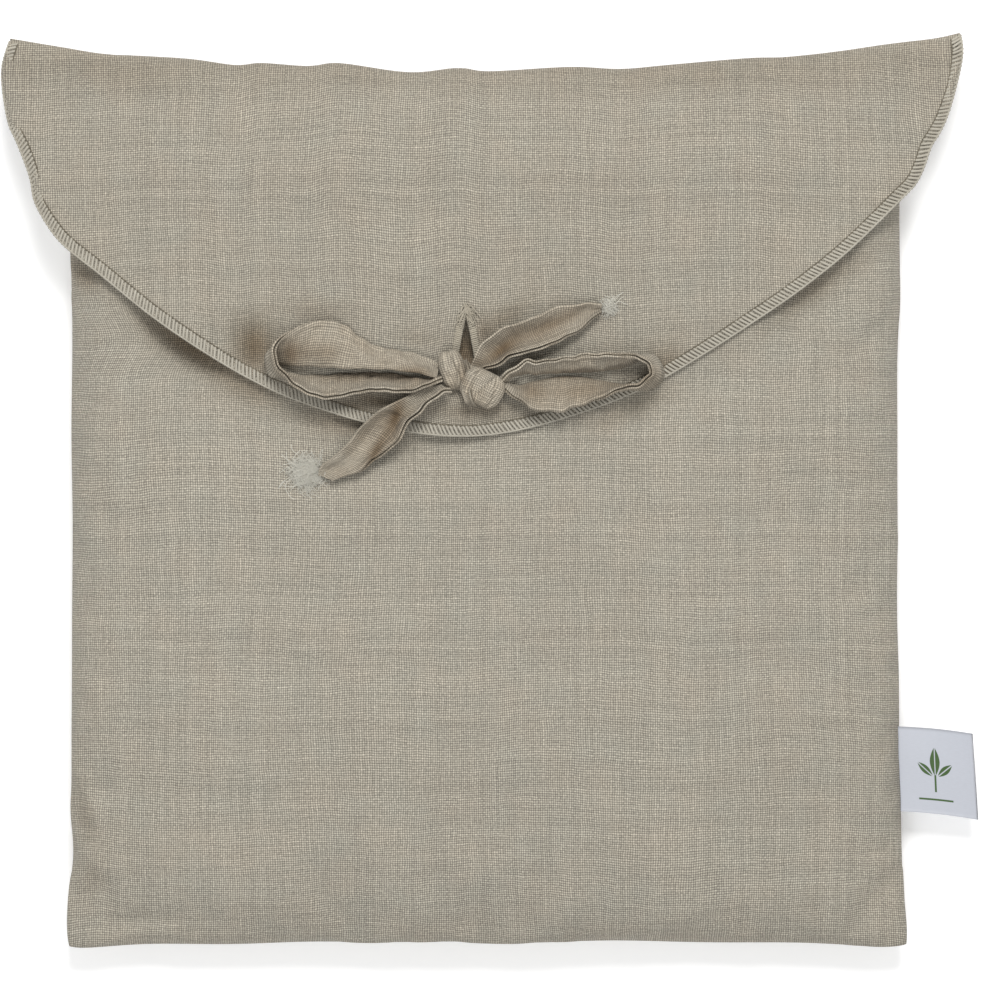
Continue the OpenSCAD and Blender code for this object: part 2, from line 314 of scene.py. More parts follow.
class Graph:
    """A material, with its nodes written as sums of values."""

    def __init__(self, name):
        self.mat = bpy.data.materials.new(name)
        self.mat.use_nodes = True
        self.tree = self.mat.node_tree
        self.shader = next(n for n in self.tree.nodes if n.type == "BSDF_PRINCIPLED")

    def put(self, socket, value):
        if isinstance(value, Value):
            self.tree.links.new(value.socket, socket)
        else:
            socket.default_value = value[:3] if socket.type == "VECTOR" else value

    def node(self, kind, inputs, output=0, **settings):
        """One output of a new node. Inputs and output go by name or number."""
        n = self.tree.nodes.new("ShaderNode" + kind)
        for key, value in settings.items():
            setattr(n, key, value)
        for key, value in inputs.items():
            self.put(n.inputs[key], value)
        return Value(self, n.outputs[output])

    def math(self, operation, *values, clamp=False):
        return self.node("Math", dict(enumerate(values)), operation=operation, use_clamp=clamp)

    def ramp(self, value, slope):
        """0.5 where a value is 0, and from 0 to 1 around it."""
        return self.math("MULTIPLY_ADD", value, slope, 0.5, clamp=True)

    def vector(self, x, y, z=0.0):
        return self.node("CombineXYZ", {0: x, 1: y, 2: z})

    def noise(self, place, scale, detail=2.0, rough=0.5):
        return self.node("TexNoise", dict(Vector=place, Scale=scale, Detail=detail, Roughness=rough), "Fac")

    def random(self, value):
        return self.node("TexWhiteNoise", {"W": value}, "Value", noise_dimensions="1D")

    def blend(self, share, a, b):
        return self.node("Mix", {0: share, 6: a, 7: b}, 2, data_type="RGBA")

    def scaled(self, colour, factor):
        return self.node("VectorMath", {0: colour, "Scale": factor}, operation="SCALE")

    def cloth(self):
        """The place on the flat cloth, in millimetres."""
        place = self.node("UVMap", {}, uv_map="cloth")
        return [self.node("SeparateXYZ", {0: place}, axis) * (1 / UV_PER_MM) for axis in (0, 1)]

    def place(self):
        """The place in the piece's own frame, in metres."""
        return self.node("TexCoord", {}, "Object")

    def finish(self, colour, relief=None, bump=0.3, depth=0.0002, rough=0.9, sheen=0.0):
        sockets = self.shader.inputs
        self.put(sockets["Base Color"], colour)
        sockets["Roughness"].default_value = rough
        sockets["Specular IOR Level"].default_value = 0.25
        sockets["Sheen Weight"].default_value = sheen
        sockets["Sheen Roughness"].default_value = 0.5
        if relief is not None:
            self.put(sockets["Normal"], self.node("Bump", dict(Strength=bump, Distance=depth, Height=relief)))
        return self.mat


def srgb(r, g, b):
    def lin(c):
        c /= 255.0
        return c / 12.92 if c <= 0.04045 else ((c + 0.055) / 1.055) ** 2.4

    return (lin(r), lin(g), lin(b), 1.0)


def woven(name, cool, warm, pitch=THREAD, contrast=2.7, slub=1.0, bump=0.8, sheen=0.05):
    """Plain weave on the flat cloth: each thread has its own tone, its thick places and its relief, with
    painted shade in the gaps between threads and where a thread passes under another. Painted shade darkens
    the cloth's colour where the mesh's shade is high."""
    g = Graph(name)
    x, y = g.cloth()
    place = g.vector(x, y)
    u = x * (1.0 / pitch) + (g.noise(place, 0.09) - 0.5) * 1.6
    v = y * (1.0 / (pitch * 1.03)) + (g.noise(g.vector(y, x, 7.0), 0.09) - 0.5) * 1.6
    warp, weft = g.math("FLOOR", u), g.math("FLOOR", v)
    across, along_it = g.math("SINE", u * math.pi), g.math("SINE", v * math.pi)
    warp_up = g.math("SIGN", across) * along_it * 0.5 + 0.5
    weft_up = 0.5 - g.math("SIGN", along_it) * across * 0.5
    warp_slub = g.noise(g.vector(warp * 5.37, y * 0.045), 1.0, 3.0, 0.65)
    weft_slub = g.noise(g.vector(x * 0.045, weft * 5.37, 3.0), 1.0, 3.0, 0.65)
    warp_tone = (g.random(warp) - 0.5) * 0.06 + (warp_slub - 0.5) * (0.24 * slub)
    weft_tone = (g.random(weft + 517.3) - 0.5) * 0.06 + (weft_slub - 0.5) * (0.24 * slub)
    warp_relief = abs(across) * (warp_up + warp_tone * 0.4)
    weft_relief = abs(along_it) * (weft_up + weft_tone * 0.4)
    relief = g.math("MAXIMUM", warp_relief, weft_relief)
    tone = weft_tone + g.ramp(warp_relief - weft_relief, 5.0) * (warp_tone - weft_tone)
    fibre = g.noise(place, 2.3, 2.0, 0.6)
    grain = g.noise(place, 0.8, 1.0)
    # painted shade: the weave is darker where its relief is low, in the gaps and where a thread passes under
    light = g.math("POWER", relief, 1.2) * (0.43 * contrast) + (1.0 - 0.24 * contrast)
    light = light * (tone * contrast + 1.0) * (fibre * 0.18 + 0.91) * ((grain - 0.5) * (0.75 * slub) + 1.0)
    patch = g.ramp(g.noise(place, 0.045, 3.0, 0.6) - 0.5, 1.7)
    colour = g.scaled(g.blend(patch, cool, warm), light)
    # painted shade: where the mesh's shade attribute is high, the colour darkens towards a brown tint
    shaded_colour = g.node("VectorMath", {0: colour, 1: PAINTED_SHADE_TINT}, operation="MULTIPLY")
    shade = g.node("Attribute", {}, "Fac", attribute_name="shade")
    return g.finish(g.blend(shade, colour, shaded_colour), relief + fibre * 0.3, bump, 0.00035, 0.92, sheen)


def twisted(name, colour, dark, sheen=0.1):
    """Sewing thread, with fine fibres in tone and relief."""
    g = Graph(name)
    fine = g.noise(g.place(), 2600.0, 2.0, 0.6)
    wide = g.noise(g.place(), 260.0, 2.0, 0.6)
    share = g.ramp(fine * 0.6 + wide * 0.4 - 0.5, 2.4)
    return g.finish(g.blend(share, dark, colour), fine, 0.4, 0.0001, 0.8, sheen)


def wadding_material():
    g = Graph("fibre wadding")
    n = g.noise(g.place(), 400.0, 4.0, 0.7)
    return g.finish(g.blend(n, srgb(226, 226, 222), srgb(250, 250, 248)), n, 0.6, 0.002, 1.0, 0.3)


linen = woven("linen", srgb(156, 152, 140), srgb(161, 153, 139))
tape_linen = woven("tape linen", srgb(160, 154, 141), srgb(157, 145, 127), pitch=0.85, slub=0.8, bump=0.7)
# painted shade: a darker copy of the tape linen for the faces of the groove between a tape's lips
groove_shade_linen = woven("tape groove shade", srgb(104, 97, 84), srgb(100, 90, 74), pitch=0.8, slub=0.8, bump=0.4)
calico = woven("calico", srgb(216, 211, 198), srgb(221, 214, 199), 0.5, contrast=1.0, slub=0.4, bump=0.3)
overlock_thread = twisted("overlock thread", srgb(184, 179, 166), srgb(150, 144, 131))
needle_thread = twisted("needle thread", srgb(120, 112, 96), srgb(92, 85, 72))
slit_thread = twisted("slit thread", srgb(184, 177, 161), srgb(152, 144, 128))
inner_thread = twisted("seam thread", srgb(196, 188, 170), srgb(160, 150, 132))
frayed = twisted("frayed fibres", srgb(226, 224, 214), srgb(198, 194, 181), sheen=0.3)
wadding = wadding_material()


# ---- outlines

# The fold at the top of the cushion, from wing to wing: x and y.
FOLD = [
    (-201, 194), (-180, 190.5), (-159, 187.5), (-127, 185.8), (-106, 183), (-96, 184), (-75, 182.6),
    (-63, 184), (-33, 180), (-12, 182), (0, 180.4), (35, 182.3), (56, 181.4), (77, 183.2), (110, 186),
    (125, 186.4), (146, 188.6), (167, 191.6), (188, 194), (199, 196.4),
]
# The flap's rounded edge, from the left wing's tip to the right one's.
EDGE = [
    (-201, 194), (-204.5, 182), (-204, 171.5), (-201.5, 158), (-198, 150.5), (-192.5, 136), (-190.5, 125.5),
    (-184, 114), (-177, 106), (-163, 95), (-142, 78), (-121, 63.5), (-100, 51), (-79, 41.5), (-45, 31),
    (-14, 26.8), (14, 29.5), (47.5, 39.5), (70.5, 49.5), (89.5, 60.5), (110.5, 74), (131.5, 88.5),
    (152.5, 105.5), (175, 127.5), (180.5, 133.5), (184, 141), (186.5, 148.5), (190, 154), (193.5, 161.5),
    (197.5, 175), (200, 188), (199, 196.4),
]
fold_line = curve(FOLD, 12)


def fold_y(x):
    return np.interp(x, fold_line[:, 0], fold_line[:, 1])


def side_x(right, y):
    """How far the cushion's side seam is from its middle at some height y."""
    v = y / 188.0
    low = np.clip(-v, 0, 1) ** 9
    if right:
        return 173.0 + 2.4 * v * v + 4.2 * low + 0.35 * waves(y, 0 * y + 40, 60, 21, 5)
    notch = 0.6 * np.exp(-(((y + 128) / 8) ** 2)) - 0.9 * np.exp(-(((y + 147) / 9) ** 2))
    return 175.2 + 0.3 * v * v + 3.2 * low + notch + 0.45 * waves(y, 0 * y + 90, 44, 22, 5)


def bottom_y(x):
    u = x / 175.0
    return 186.4 + 3.4 * np.abs(u) ** 6 + 0.8 * waves(x, 0 * x + 11, 48, 23, 5)


def crown(u, v):
    return np.clip((1 - u * u) * (1 - v * v), 0, None) ** 0.3


def spaced(count, half, rise):
    """Shares from -1 to 1 at even steps along the crown's profile."""
    u = np.sin(np.linspace(-math.pi / 2, math.pi / 2, 6001))
    s = along(np.stack([u * half, rise * np.clip(1 - u * u, 0, None) ** 0.3], axis=1))
    return np.interp(np.linspace(0, s[-1], count + 1), s, u)


# Painted shade, where shadow falls in hollows, under the flap's edge and around the bow: each spot with its
# middle, its half widths, its turn and how dark the painted shade is there.
PANEL_PAINTED_SHADE = [
    ((-124, 64), (25, 6.5), -33, 0.85), ((-169, 94), (9, 5), -40, 0.55), ((-57, 31), (24, 6), -15, 0.5),
    ((-101, 47), (15, 6), -27, 0.45), ((60, 38), (20, 5), 25, 0.35), ((137, 88), (28, 5), 37, 0.45),
    ((-9, 62), (5, 16), 0, 1.0), ((-170, -132), (4, 14), 12, 0.25), ((-168, -160), (6, 9), 0, 0.2),
]
# painted shade on the flap, with a darker band along the fold and a slight darkening over the whole flap
FLAP_PAINTED_SHADE = [
    ((-98, 65), (9, 12), 0, 0.9), ((-72, 80), (16, 5), 0, 0.25), ((8, 77), (13, 5), 35, 0.5),
    ((-1, 70), (3, 7), 10, 0.45), ((-3, 37), (24, 5), 0, 0.5), ((-50, 41), (14, 4), 5, 0.75),
    ((76, 56), (8, 11), 0, 0.55), ((51, 40), (20, 4), 15, 0.5), ((-30, 68), (10, 4), -10, 0.25),
    ((0, 185), (320, 13), 0, 0.26), ((-150, 178), (30, 8), -8, 0.15), ((92, 178), (40, 6), 4, 0.1),
    ((0, 120), (400, 90), 0, 0.08),
]
# painted shade on the tapes, in the hollows of the loops, tails and knot
TAPE_PAINTED_SHADE = [
    ((-70, 62), (12, 4.5), 0, 0.5), ((-31, 53), (8, 3.2), 0, 0.8), ((-83, 61), (4.5, 6), 0, 0.7),
    ((-55, 52), (20, 3), 0, 0.55), ((37, 53), (16, 2), 0, 0.6), ((61, 52.5), (7, 3.4), 0, 0.9),
    ((42, 47), (16, 4.5), 8, 0.55), ((19, 46), (6, 5), 0, 0.6), ((6, 63), (10, 3.6), 38, 0.95),
    ((27, 74), (15, 3.2), 25, 0.7), ((-38.5, 35), (9, 3.4), 72, 1.0), ((-46.5, 21), (9, 2.6), 60, 0.9),
    ((-10, 53), (1.6, 6), 15, 0.5), ((-3, 58), (4, 2), 0, 0.4),
]


# ---- the cover's two panels

FRONT_HUMPS = [
    (-8.0, (-72, 36), (34, 14), -14), (-9.0, (-126, 68), (26, 15), -36), (-9.0, (-9, 66), (8, 13)),
    (-3.0, (-20, 22), (26, 9), 8), (-5.0, (84, 48), (26, 11), 28), (-5.0, (142, 90), (26, 11), 38),
    (1.6, (-20, -6), (70, 14)),
]
FRONT_CREASES = [
    (4.2, (-178, -108), (-163, -138), 4.0), (-4.6, (-178, -118), (-166, -150), 4.0),
    (4.0, (-178, -142), (-158, -160), 4.5), (-4.4, (-172, -150), (-158, -168), 4.5),
    (-3.6, (-162, -180), (-128, -176), 4.0), (-2.4, (160, -182), (132, -170), 5.0),
    (2.0, (172, -150), (150, -168), 5.0), (-1.0, (176, 80), (150, 60), 5.0), (0.8, (176, 30), (158, 20), 5.0),
]


def front_relief(x, y):
    """Dimples and creases of the front panel."""
    z = 1.5 * waves(x, y, 95, 1) + 0.7 * waves(x, y, 42, 2) + 0.22 * waves(x, y, 17, 3)
    return z + relief(x, y, FRONT_HUMPS, FRONT_CREASES)


def cover():
    """The front and the back panel, simulated together and then taken apart."""
    us, vs = spaced(96, HALF_WIDTH, CROWN), spaced(104, HALF_LENGTH, CROWN)
    u, v = np.meshgrid(us, vs)
    y0 = v * HALF_LENGTH
    x = np.where(u > 0, u * side_x(True, y0), u * side_x(False, y0))
    top = fold_y(x)
    y = np.where(v > 0, v * top, v * bottom_y(x))
    corner = np.abs(u * v) ** 26 * (v < 0) * 2.6
    x = x - np.sign(u) * corner
    y = y + corner
    c = crown(u, v)
    dimples = front_relief(x, y) * np.clip(c * 1.25, 0, 1) ** 1.5
    front = np.stack([x, y, SEAM_Z + CROWN * c + dimples], axis=2)
    sag = SEAM_Z - 23.5 * c + 1.2 * waves(x, y, 60, 5) * c
    sag = 0.25 + np.logaddexp(0, (sag - 0.25) / 1.3) * 1.3
    back = np.stack([x, y, np.where(c < 1e-6, SEAM_Z, np.minimum(sag, SEAM_Z))], axis=2)
    rows, cols = u.shape
    flat = {}
    for name, p in (("front", front), ("back", back)):
        du = np.linalg.norm(np.diff(p, axis=1), axis=2)
        dv = np.linalg.norm(np.diff(p, axis=0), axis=2)
        s = np.concatenate([np.zeros((rows, 1)), np.cumsum(du, axis=1)], axis=1)
        t = np.concatenate([np.zeros((1, cols)), np.cumsum(dv, axis=0)], axis=0)
        s -= s[:, cols // 2 : cols // 2 + 1]
        t -= t[rows // 2 : rows // 2 + 1, :]
        s = s + 1.6 * waves(x, y, 120, 31)
        t = t + 1.6 * waves(x, y, 120, 32) + 0.5 * waves(x, y, 50, 33)
        flat[name] = np.stack([s, t], axis=2)
    rim = np.ones((rows, cols), bool)
    rim[1:-1, 1:-1] = False
    rim = rim.ravel()
    under = np.arange(rows * cols)
    under[~rim] = rows * cols + np.arange((~rim).sum())
    points = np.vstack([front.reshape(-1, 3), back.reshape(-1, 3)[~rim]])
    faces = grid_faces(rows, cols) + [tuple(under[i] for i in f) for f in grid_faces(rows, cols, flip=True)]
    whole = mesh("whole_cover", points, faces)
    pins = np.concatenate([rim.astype(float), np.zeros((~rim).sum())])
    ripple(whole, pins, 0.018, 1.2, 16, 3.2)
    co = points_of(whole)
    bpy.data.objects.remove(whole)
    front = co[: rows * cols].reshape(rows, cols, 3)
    back = co[under].reshape(rows, cols, 3)
    back[..., 2] = np.maximum(back[..., 2], 0.05)
    return front, back, flat


front_grid, back_grid, flat_places = cover()
rows, cols = front_grid.shape[:2]
open_front = front_grid.copy()
lift = smoothstep(np.arange(rows), rows - 9, rows - 1)[:, None]
open_front[..., 1] -= 1.6 * lift
open_front[..., 2] += 0.7 * lift

front_panel = mesh("front_panel_linen", open_front, grid_faces(rows, cols), flat_places["front"], PANEL_PAINTED_SHADE)
front_panel = thick(finer(front_panel), CLOTH)
back_panel = mesh("back_panel_linen", back_grid, grid_faces(rows, cols, flip=True), flat_places["back"])
back_panel = thick(finer(back_panel), CLOTH)


def surface(obj):
    """A tree to look up heights on an object."""
    data = obj.data
    return BVHTree.FromPolygons([v.co for v in data.vertices], [p.vertices for p in data.polygons])


front_tree = surface(front_panel)


def height(tree, x, y, default=np.nan):
    """Height of the uppermost surface at a place."""
    hit = tree.ray_cast(Vector((x * MM, y * MM, 0.3)), Vector((0, 0, -1)))
    return hit[0].z / MM if hit[0] is not None else default


# ---- the flap

FLAP_HUMPS = [
    (-4.5, KNOT, (20, 14)), (-9.0, (-100, 68), (13, 13), -30), (-4.5, (-58, 49), (28, 9), 8),
    (-6.5, (86, 62), (15, 11), 35), (-5.0, (26, 82), (20, 9), 22), (2.2, (-60, 88), (40, 12)),
    (4.5, (-128, 73), (20, 10), -36), (3.5, (128, 90), (28, 10), 36),
]
FLAP_CREASES = [
    (-2.0, (10, 92), (64, 176), 5.5), (1.2, (24, 92), (78, 170), 6.5), (-1.8, (-8, 84), (-7, 134), 4.0),
    (1.0, (-18, 86), (-20, 130), 6.0), (0.8, (-92, 186), (-84, 158), 6.0),
    (-0.8, (-33, 182), (-30, 150), 7.0), (-0.8, (0, 182), (4, 156), 6.0), (-0.6, (56, 182), (60, 164), 6.0),
    (-1.2, (-160, 184), (-176, 150), 8.0),
]


def flap_relief(x, y):
    """Dimples and creases of the flap."""
    z = 1.2 * waves(x, y, 90, 41) + 0.6 * waves(x, y, 38, 42) + 0.18 * waves(x, y, 16, 43)
    return z + relief(x, y, FLAP_HUMPS, FLAP_CREASES)


def slit_half(y):
    """Half the slit's opening at some height."""
    t = np.clip((SLIT_TOP - y) / (SLIT_TOP - SLIT_END), 0, 1)
    return 6.2 * t**0.8 * np.clip((1 - t) * 4, 0, 1) ** 0.6


def flap():
    """The flap's points, in rows from its turned-down lip at the fold to its edge."""
    edge = resample(curve(EDGE, 10), 151)
    slit_column = int(np.argmin(np.abs(edge[:, 0] - SLIT_X)))
    edge[slit_column, 0] = SLIT_X
    root_x = edge[:, 0].copy()
    for tip, start in ((FOLD[0], (-163, 95)), (FOLD[-1], (152.5, 105.4))):
        wing = (edge[:, 0] - start[0]) * np.sign(tip[0]) > 0
        share = np.clip((tip[1] - edge[wing, 1]) / (tip[1] - start[1]), 0, 1)
        root_x[wing] = tip[0] + (start[0] - tip[0]) * share**1.4
    root = np.stack([root_x, fold_y(root_x)], axis=1)
    inner = edge + 0.4 * unit(root - edge)
    t = np.linspace(0, 1, 62) ** 2.1
    plan = root[None] * (1 - t)[:, None, None] + inner[None] * t[:, None, None]
    x, y = plan[..., 0], plan[..., 1]
    out = smoothstep(np.abs(x), 158, 184)
    start_z = SEAM_Z + 0.3 + 7.5 * out
    v = np.clip(y / fold_y(x), -1, 1)
    rise = crown(x / 204.5, v)
    z = start_z + (44.6 - start_z) * rise
    relief = flap_relief(x, y)
    z = z + relief * np.clip(rise * 1.2, 0, 1) ** 1.5
    rim = smoothstep(t, 0.9, 1.0)[:, None]
    wing = smoothstep(np.abs(x), 150, 200)
    z = z + rim * (0.6 + 1.3 * wing * waves(along(edge)[None, :], 0 * x, 26, 51, 4))
    z = z - wing * rim * 2.0
    slit_dx = slit_half(y) * np.exp(-np.abs(x - SLIT_X) / 13)
    here = np.arange(len(edge))[None, :] - slit_column
    x = x + np.where(here > 0, slit_dx, np.where(here < 0, -slit_dx, 0))

    # the lip that turns down over the back panel's rim, and back under each wing
    lip = np.array([1.0, 0.78, 0.55, 0.34, 0.16])
    lip_x = np.repeat(root[None, :, 0], 5, axis=0)
    reach = 3.2 + 7.5 * smoothstep(np.abs(lip_x), 168, 188)
    wing_root = smoothstep(np.abs(lip_x), 165, 180)
    down = np.sin(lip * math.pi * 0.5)[:, None]
    lip_y = fold_y(lip_x) + 0.55 - wing_root * reach * (lip[:, None] ** 1.3)
    lip_z = start_z[0][None, :] - down * (3.2 * (1 - wing_root) + 2.0 * wing_root)
    lip_x = lip_x * (1 - 0.02 * lip[:, None] * wing_root)
    y = y + 0.55 * (1 - smoothstep(t, 0, 0.02))[:, None]
    x = np.vstack([lip_x, x])
    y = np.vstack([lip_y, y])
    z = np.vstack([lip_z, z])
    return x, y, z, slit_column, len(lip)


fx, fy, fz, slit_column, lip_rows = flap()
f_rows, f_cols = fx.shape
flap_points = np.stack([fx, fy, fz], axis=2)
steps = np.linalg.norm(np.diff(flap_points, axis=0), axis=2)
run = np.concatenate([np.zeros((1, f_cols)), np.cumsum(steps, axis=0)], axis=0)
run -= run[lip_rows : lip_rows + 1]
lean = (fx[-1] - fx[lip_rows])[None, :] * np.clip(run / np.maximum(run[-1:], 1), 0, 1)
cloth_u = fx[lip_rows][None, :] + lean + 1.4 * waves(fx, fy, 110, 61)
cloth_v = -run + 12 * np.abs(fx[lip_rows] / 200)[None, :] ** 3 + 1.4 * waves(fx, fy, 110, 62)

# the slit is cut down one column: its points are doubled between its two ends
ids = np.arange(f_rows * f_cols).reshape(f_rows, f_cols)
slit_y = fy[:, slit_column]
slit_rows = [i for i in range(lip_rows + 1, f_rows) if SLIT_END + 0.3 < slit_y[i] < SLIT_TOP - 0.3]
points = flap_points.reshape(-1, 3).tolist()
uvs = np.stack([cloth_u, cloth_v], axis=2).reshape(-1, 2).tolist()
twin = {}
for i in slit_rows:
    k = ids[i, slit_column]
    twin[k] = len(points)
    half = float(slit_half(points[k][1]))
    right_point = list(points[k])
    right_point[0] += half
    points[k][0] -= half
    points.append(right_point)
    uvs.append(uvs[k])
faces = []
for i in range(f_rows - 1):
    for j in range(f_cols - 1):
        f = [ids[i, j], ids[i + 1, j], ids[i + 1, j + 1], ids[i, j + 1]]
        if j == slit_column:
            f = [twin.get(k, k) for k in f]
        faces.append(f)
flap_sheet = mesh("flap_linen", points, faces, uvs, FLAP_PAINTED_SHADE)
near_slit = np.exp(-(np.hypot(fx - SLIT_X, (fy - 60) * 0.6) / 14) ** 2)
hold = np.zeros((f_rows, f_cols))
hold[: lip_rows + 9] = 1
hold[-1] = 1
hold = np.clip(hold + (near_slit > 0.3), 0, 1).ravel()
ripple(flap_sheet, np.concatenate([hold, np.ones(len(twin))]), 0.012, 0, 12, 1.6)


def rest_on(obj, tree, gap, extra, only):
    """Lifts those of an object's points that are too low to a gap above a surface."""
    co = points_of(obj)
    for i in np.where(only)[0]:
        h = height(tree, co[i, 0], co[i, 1]) + gap + extra(co[i, 0], co[i, 1])
        if not math.isnan(h):
            co[i, 2] = max(co[i, 2], h)
    move_points(obj, co)


above = np.zeros(len(points), bool)
above[(lip_rows + 1) * f_cols :] = True
rest_on(flap_sheet, front_tree, 1.5, lambda x, y: 3.4 * hump(x, y, (SLIT_X, 38), (15, 11)), above)
flap_co = points_of(flap_sheet)
edge_points = flap_co[ids[-1]]
left_lip = [flap_co[ids[i, slit_column]] for i in slit_rows]
right_lip = [flap_co[twin[ids[i, slit_column]]] for i in slit_rows]
flap_sheet = thick(finer(flap_sheet), CLOTH)
flap_tree = surface(flap_sheet)


def top(x, y):
    """Height of the flap, or of the front panel beside it."""
    h = height(flap_tree, x, y)
    return h if not math.isnan(h) else height(front_tree, x, y, SEAM_Z)


# ---- threads along the edges


# An overlock stitch, from its needle hole over the edge and back: how far across, how high, how far along.
OVERLOCK = [
    (1.0, -0.3, 0.0), (0.97, 0.35, 0.05), (0.72, 0.62, 0.25), (0.4, 0.62, 0.55), (0.12, 0.5, 0.8),
    (-0.07, 0.0, 1.0), (0.1, -0.6, 1.05), (0.45, -0.75, 1.1), (0.9, -0.7, 1.2),
]


def stitched_edge(name, line, inward, width, pitch, radius, lean, lift):
    """Overlock stitches along an edge of cloth."""
    rng = np.random.default_rng(71)
    s = along(line)
    lines = []
    for number in range(int(s[-1] / pitch)):
        jitter = rng.normal(0, 0.05 * pitch, 2)[0]
        w = width * rng.uniform(0.94, 1.05)
        path = []
        for across, up, slide in OVERLOCK:
            where = np.clip((number + 0.2) * pitch + lean * slide + jitter, 0, s[-1])
            reach = unit(at_length(inward, s, where)) * w * across
            path.append(at_length(line, s, where) + reach + np.array([0, 0, up * lift]))
        lines.append(curve(path, 2))
    return tubes(name, lines, radius)


def running_stitches(count, pitch, stitch, place):
    """Lines of short stitches in a row. A stitch holds shares of the pitch with heights, and place() turns a
    length and a height into a point."""
    return [[place((k + share) * pitch, rise) for share, rise in stitch] for k in range(count)]


def needle_line(name, line, inward, inset, pitch, radius, up):
    """A row of short stitches beside an edge."""
    s = along(line)

    def place(where, rise):
        aside = unit(at_length(inward, s, where)) * inset
        return at_length(line, s, where) + aside + np.array([0, 0, up + rise])

    stitch = ((0.06, -0.3), (0.2, 0.1), (0.5, 0.26), (0.8, 0.1), (0.94, -0.3))
    return tubes(name, running_stitches(int(s[-1] / pitch), pitch, stitch, place), radius, sides=5)


fine_edge = resample(edge_points, 700)[1:-1]
t = unit(np.gradient(fine_edge, axis=0))
edge_in = unit(np.stack([-t[:, 1], t[:, 0], 0 * t[:, 0]], axis=1))
dz = np.array([top(*(p[:2] + d[:2] * 3.5)) for p, d in zip(fine_edge, edge_in)]) - fine_edge[:, 2]
slope = np.convolve(np.pad(np.clip(dz, -2.5, 2.5), 8, mode="edge"), np.ones(17) / 17, mode="valid")
edge_in[:, 2] = slope / 3.5
overlock = stitched_edge("flap_overlock_stitches", fine_edge, edge_in, 3.9, STITCH, 0.56, 2.3, 0.7)
chain_line = fine_edge - edge_in * 0.15 + np.array([[0, 0, 0.25]])
chain_line[:, 2] += 0.12 * np.sin(along(fine_edge) * 2 * math.pi / STITCH)
chain = tubes("flap_edge_chain", [chain_line], 0.42)
needles = needle_line("flap_needle_line", fine_edge, edge_in, 4.35, STITCH, 0.26, 0.1)

apex = np.array([SLIT_X, SLIT_TOP - 0.2, top(SLIT_X, SLIT_TOP + 1) - 0.2])
slit_path = np.vstack([np.array(left_lip)[::-1], apex[None], np.array(right_lip)])
slit_path = resample(curve(slit_path, 6), 200)
slit_out = np.where(slit_path[:, :1] < SLIT_X, -1.0, 1.0) * np.array([[1.0, 0.0, 0.0]])
turn = smoothstep(slit_path[:, 1], SLIT_TOP - 5, SLIT_TOP)[:, None]
slit_out = unit(slit_out * (1 - turn) + turn * np.array([[0.0, 1.0, 0.0]]) + 0.3 * turn * slit_out)
slit_stitches = stitched_edge("slit_stitches", slit_path, slit_out, 2.6, 0.86, 0.4, 0.8, 0.7)


# ---- ties


# A tape's outline on one side: shares of its width, and heights. Its stitched edge comes first.
TAPE_PROFILE = [
    (0.12, 0.0), (0.07, 0.10), (0.01, 0.28), (-0.025, 0.62), (-0.02, 1.02), (0.02, 1.28), (0.075, 1.22),
    (0.12, 0.86), (0.16, 0.55), (0.24, 0.62), (0.34, 0.6), (0.44, 0.6), (0.54, 0.6), (0.64, 0.6), (0.74, 0.6),
    (0.84, 0.62), (0.92, 0.66), (0.97, 0.5), (0.995, 0.26),
]


def ribbon(name, stations, steps=7, base=top, crumple=0.9, seed=81, sway=0.5):
    """A folded tape between two edges. Each station is the stitched edge's x, y and height over the flap, the
    folded edge's, and how far the middle bulges. The stitched edge is two turned-in lips with a groove
    between them, whose faces get a darker linen as painted shade."""
    line = curve(stations, steps)
    a, b = line[:, 0:3].copy(), line[:, 3:6].copy()
    s = along((a + b) / 2)
    for number, p in enumerate((a, b)):
        low = np.array([base(q[0], q[1]) for q in p])
        p[:, 2] += np.convolve(np.pad(low, 6, mode="edge"), np.ones(13) / 13, mode="valid")
        for axis in range(3):
            p[:, axis] += sway * waves(s, 0 * s + 50 * axis, 9, seed + 7 + number, 5)
    across = b - a
    width = np.linalg.norm(across, axis=1, keepdims=True)
    e = across / width
    n = unit(np.cross(unit(np.gradient((a + b) / 2, axis=0)), e))
    ring = TAPE_PROFILE + [(1.0, 0.0)] + [(c, -h) for c, h in TAPE_PROFILE[:0:-1]]
    share, off = np.array(ring).T
    bulge = line[:, 6:7]
    bend = 4 * share * (1 - share)
    lean = 4 * bulge * (1 - 2 * share)[None, :] / width
    off_e, off_n = -lean / np.sqrt(1 + lean**2) * off, 1 / np.sqrt(1 + lean**2) * off
    rough = crumple * waves(s[:, None], 14 * share[None, :], 13, seed)
    rough = rough + 0.5 * crumple * waves(s[:, None], 14 * share[None, :], 6, seed + 1)
    rough = rough * smoothstep(bend, 0.1, 0.6)[None, :]
    points = (
        a[:, None] + across[:, None] * share[None, :, None] + e[:, None] * off_e[..., None]
        + n[:, None] * (off_n + bulge * bend[None, :] + rough)[..., None]
    )
    uv = np.stack(np.meshgrid(share * 15.0 + np.where(off < 0, 40.0, 0.0), s), axis=2)
    faces = sleeve(len(s), len(ring))
    obj = mesh(name, points, faces, uv, TAPE_PAINTED_SHADE)
    # the groove's faces take the darker linen: painted shade
    dark = np.zeros(len(faces), np.int32)
    sides = dark[: (len(s) - 1) * len(ring)].reshape(-1, len(ring))
    sides[:, :2] = sides[:, -2:] = 1
    obj.data.materials.append(tape_linen)
    obj.data.materials.append(groove_shade_linen)
    obj.data.polygons.foreach_set("material_index", dark)
    return obj


